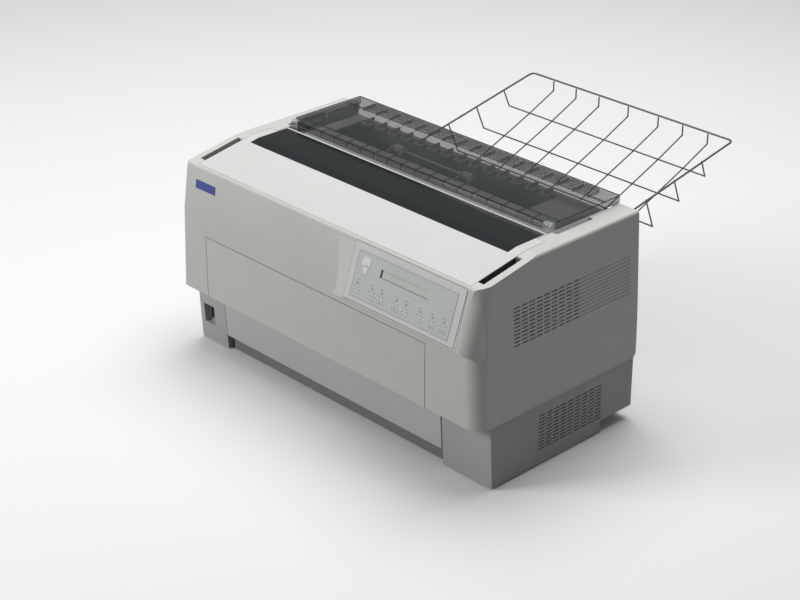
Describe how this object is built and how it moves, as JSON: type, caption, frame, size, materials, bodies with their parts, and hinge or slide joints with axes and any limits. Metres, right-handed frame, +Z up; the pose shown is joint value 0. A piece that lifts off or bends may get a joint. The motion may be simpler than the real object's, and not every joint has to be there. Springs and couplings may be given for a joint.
{
  "type": "dot matrix printer",
  "caption": "wide heavy-duty dot matrix printer with a slanted control panel, hinged smoked covers, front flap, vented sides and a rear wire paper rack",
  "frame": {"origin": "on the desk plane, under the middle of the outline of the printer with its wire rack", "axes": "+X to the printer's right, +Y to its rear where the wire rack is, +Z up"},
  "size_m": [0.7, 0.7534, 0.3712],
  "materials": {
    "light_shell": "fine moulded texture",
    "grey_shell": "fine moulded texture",
    "base_shell": "fine moulded texture",
    "smoked_window": "smoked transparent",
    "smoked_cover": "smoked transparent with moulded ribs",
    "clear_catch": "clear moulded",
    "rack_wire": "coated wire",
    "panel_film": "printed film",
    "lcd": "display glass",
    "lamp": "translucent",
    "black_plastic": "moulded",
    "grey_guide": "moulded",
    "rubber": "plain",
    "platen_rubber": "ground smooth",
    "zinc_plate": "zinc plated",
    "shaft_steel": "ground",
    "gear_plastic": "natural nylon",
    "roller_plastic": "moulded",
    "circuit_board": "solder resist",
    "switch_plastic": "moulded"
  },
  "bodies": {
    "printer_body": {"base_case": "base_shell", "lower_front_panel": "base_shell", "lower_paper_guide": "grey_shell", "rubber_feet": "rubber", "upper_case": "grey_shell", "panel_bezel": "light_shell", "panel_overlay": "panel_film", "lcd_display": "lcd", "status_lamps": "lamp", "power_inlet": "black_plastic", "interface_ports": "zinc_plate", "side_frame_left": "zinc_plate", "side_frame_right": "zinc_plate", "guide_shaft": "shaft_steel", "front_rail": "shaft_steel", "drive_belt": "rubber", "carriage_motor": "black_plastic", "feed_motor": "black_plastic", "exit_guide": "grey_shell", "tractor_support_shafts": "shaft_steel", "power_supply": "zinc_plate", "main_board": "circuit_board", "fan_housing": "black_plastic"},
    "front_flap": {"front_flap": "grey_shell"},
    "top_cover": {"top_cover": "light_shell", "cover_window": "smoked_window"},
    "eject_cover": {"eject_cover": "smoked_cover", "eject_cover_catches": "clear_catch"},
    "rear_cover": {"rear_cover": "grey_shell"},
    "wire_rack": {"rack_rails": "rack_wire", "rack_basket": "rack_wire"},
    "power_rocker": {"power_rocker": "switch_plastic"},
    "carriage": {"carriage": "black_plastic", "print_head": "grey_guide", "ribbon_cartridge": "black_plastic"},
    "drive_pulley": {"drive_pulley": "zinc_plate"},
    "idler_pulley": {"idler_pulley": "zinc_plate"},
    "platen": {"platen": "platen_rubber", "platen_gear": "gear_plastic"},
    "feed_pinion": {"feed_pinion": "shaft_steel"},
    "tension_rollers": {"tension_rollers": "roller_plastic"},
    "front_drive_shaft": {"front_drive_shaft": "shaft_steel"},
    "rear_drive_shaft": {"rear_drive_shaft": "shaft_steel"},
    "fan_rotor": {"fan_rotor": "black_plastic"},
    "button_1": {"button_1": "light_shell"},
    "button_2": {"button_2": "light_shell"},
    "button_3": {"button_3": "light_shell"},
    "button_4": {"button_4": "light_shell"},
    "button_5": {"button_5": "light_shell"},
    "button_6": {"button_6": "light_shell"},
    "button_7": {"button_7": "light_shell"},
    "button_8": {"button_8": "light_shell"},
    "front_tractor_left": {"front_tractor_left": "black_plastic"},
    "front_tractor_lid_left": {"front_tractor_lid_left": "grey_guide"},
    "front_tractor_right": {"front_tractor_right": "black_plastic"},
    "front_tractor_lid_right": {"front_tractor_lid_right": "grey_guide"},
    "rear_tractor_left": {"rear_tractor_left": "black_plastic"},
    "rear_tractor_lid_left": {"rear_tractor_lid_left": "grey_guide"},
    "rear_tractor_right": {"rear_tractor_right": "black_plastic"},
    "rear_tractor_lid_right": {"rear_tractor_lid_right": "grey_guide"}
  },
  "joints": [
    {"name": "front_flap_hinge", "type": "hinge", "parent": "printer_body", "child": "front_flap", "pos_m": [0, -0.34935, 0.117], "axis": [1, 0, 0], "range_deg": [0, 90]},
    {"name": "top_cover_hinge", "type": "hinge", "parent": "printer_body", "child": "top_cover", "pos_m": [0, -0.16635, 0.35], "axis": [-1, 0, 0], "range_deg": [0, 80]},
    {"name": "eject_cover_hinge", "type": "hinge", "parent": "printer_body", "child": "eject_cover", "pos_m": [0, -0.00635, 0.35], "axis": [-1, 0, 0], "range_deg": [0, 95]},
    {"name": "rear_cover_hinge", "type": "hinge", "parent": "printer_body", "child": "rear_cover", "pos_m": [0, -0.00435, 0.1336], "axis": [-1, 0, 0], "range_deg": [0, 90]},
    {"name": "wire_rack_pull", "type": "slide", "parent": "printer_body", "child": "wire_rack", "axis": [0, 0.9823, 0.1874], "range_m": [0, 0.04]},
    {"name": "power_rocker_hinge", "type": "hinge", "parent": "printer_body", "child": "power_rocker", "pos_m": [-0.3236, -0.31168, 0.051], "axis": [-1, 0, 0], "range_deg": [0, 14]},
    {"name": "button_1_press", "type": "slide", "parent": "printer_body", "child": "button_1", "axis": [0, 0.9444, -0.3289], "range_m": [0, 0.0012], "stiffness_N_per_m": 250, "springref_m": -0.001},
    {"name": "button_2_press", "type": "slide", "parent": "printer_body", "child": "button_2", "axis": [0, 0.9444, -0.3289], "range_m": [0, 0.0012], "stiffness_N_per_m": 250, "springref_m": -0.001},
    {"name": "button_3_press", "type": "slide", "parent": "printer_body", "child": "button_3", "axis": [0, 0.9444, -0.3289], "range_m": [0, 0.0012], "stiffness_N_per_m": 250, "springref_m": -0.001},
    {"name": "button_4_press", "type": "slide", "parent": "printer_body", "child": "button_4", "axis": [0, 0.9444, -0.3289], "range_m": [0, 0.0012], "stiffness_N_per_m": 250, "springref_m": -0.001},
    {"name": "button_5_press", "type": "slide", "parent": "printer_body", "child": "button_5", "axis": [0, 0.9444, -0.3289], "range_m": [0, 0.0012], "stiffness_N_per_m": 250, "springref_m": -0.001},
    {"name": "button_6_press", "type": "slide", "parent": "printer_body", "child": "button_6", "axis": [0, 0.9444, -0.3289], "range_m": [0, 0.0012], "stiffness_N_per_m": 250, "springref_m": -0.001},
    {"name": "button_7_press", "type": "slide", "parent": "printer_body", "child": "button_7", "axis": [0, 0.9444, -0.3289], "range_m": [0, 0.0012], "stiffness_N_per_m": 250, "springref_m": -0.001},
    {"name": "button_8_press", "type": "slide", "parent": "printer_body", "child": "button_8", "axis": [0, 0.9444, -0.3289], "range_m": [0, 0.0012], "stiffness_N_per_m": 250, "springref_m": -0.001},
    {"name": "carriage_travel", "type": "slide", "parent": "printer_body", "child": "carriage", "axis": [1, 0, 0], "range_m": [-0.17, 0.17]},
    {"name": "drive_pulley_spin", "type": "hinge", "parent": "printer_body", "child": "drive_pulley", "pos_m": [-0.25648, -0.28335, 0.241], "axis": [0, 0, 1], "range_deg": [-1100, 1100]},
    {"name": "idler_pulley_spin", "type": "hinge", "parent": "printer_body", "child": "idler_pulley", "pos_m": [0.25648, -0.28335, 0.241], "axis": [0, 0, 1], "range_deg": [-1100, 1100]},
    {"name": "platen_spin", "type": "hinge", "parent": "printer_body", "child": "platen", "pos_m": [0, -0.20335, 0.285], "axis": [1, 0, 0], "continuous": true},
    {"name": "feed_pinion_spin", "type": "hinge", "parent": "printer_body", "child": "feed_pinion", "pos_m": [0.28648, -0.20335, 0.2429], "axis": [1, 0, 0], "continuous": true},
    {"name": "tension_roller_spin", "type": "hinge", "parent": "printer_body", "child": "tension_rollers", "pos_m": [0, -0.07335, 0.346], "axis": [1, 0, 0], "continuous": true},
    {"name": "front_drive_shaft_spin", "type": "hinge", "parent": "printer_body", "child": "front_drive_shaft", "pos_m": [0, -0.31035, 0.15], "axis": [1, 0, 0], "continuous": true},
    {"name": "rear_drive_shaft_spin", "type": "hinge", "parent": "printer_body", "child": "rear_drive_shaft", "pos_m": [0, -0.04435, 0.165], "axis": [1, 0, 0], "continuous": true},
    {"name": "fan_spin", "type": "hinge", "parent": "printer_body", "child": "fan_rotor", "pos_m": [0.3376, -0.15335, 0.062], "axis": [1, 0, 0], "continuous": true},
    {"name": "front_tractor_left_slide", "type": "slide", "parent": "printer_body", "child": "front_tractor_left", "axis": [1, 0, 0], "range_m": [-0.05, 0.1]},
    {"name": "front_tractor_lid_left_hinge", "type": "hinge", "parent": "front_tractor_left", "child": "front_tractor_lid_left", "pos_m": [-0.2045, -0.32235, 0.168], "axis": [0, 0, -1], "range_deg": [0, 90]},
    {"name": "front_tractor_right_slide", "type": "slide", "parent": "printer_body", "child": "front_tractor_right", "axis": [1, 0, 0], "range_m": [-0.1, 0.05]},
    {"name": "front_tractor_lid_right_hinge", "type": "hinge", "parent": "front_tractor_right", "child": "front_tractor_lid_right", "pos_m": [0.2045, -0.32235, 0.168], "axis": [0, 0, 1], "range_deg": [0, 90]},
    {"name": "rear_tractor_left_slide", "type": "slide", "parent": "printer_body", "child": "rear_tractor_left", "axis": [1, 0, 0], "range_m": [-0.05, 0.1]},
    {"name": "rear_tractor_lid_left_hinge", "type": "hinge", "parent": "rear_tractor_left", "child": "rear_tractor_lid_left", "pos_m": [-0.2045, -0.03235, 0.183], "axis": [0, 0, 1], "range_deg": [0, 90]},
    {"name": "rear_tractor_right_slide", "type": "slide", "parent": "printer_body", "child": "rear_tractor_right", "axis": [1, 0, 0], "range_m": [-0.1, 0.05]},
    {"name": "rear_tractor_lid_right_hinge", "type": "hinge", "parent": "rear_tractor_right", "child": "rear_tractor_lid_right", "pos_m": [0.2045, -0.03235, 0.183], "axis": [0, 0, -1], "range_deg": [0, 90]}
  ],
  "couplings": [
    {"joint": "drive_pulley_spin", "follows": "carriage_travel", "rad_per_m": -105.26},
    {"joint": "idler_pulley_spin", "follows": "carriage_travel", "rad_per_m": -105.26},
    {"joint": "feed_pinion_spin", "follows": "platen_spin", "ratio": -2.5}
  ]
}
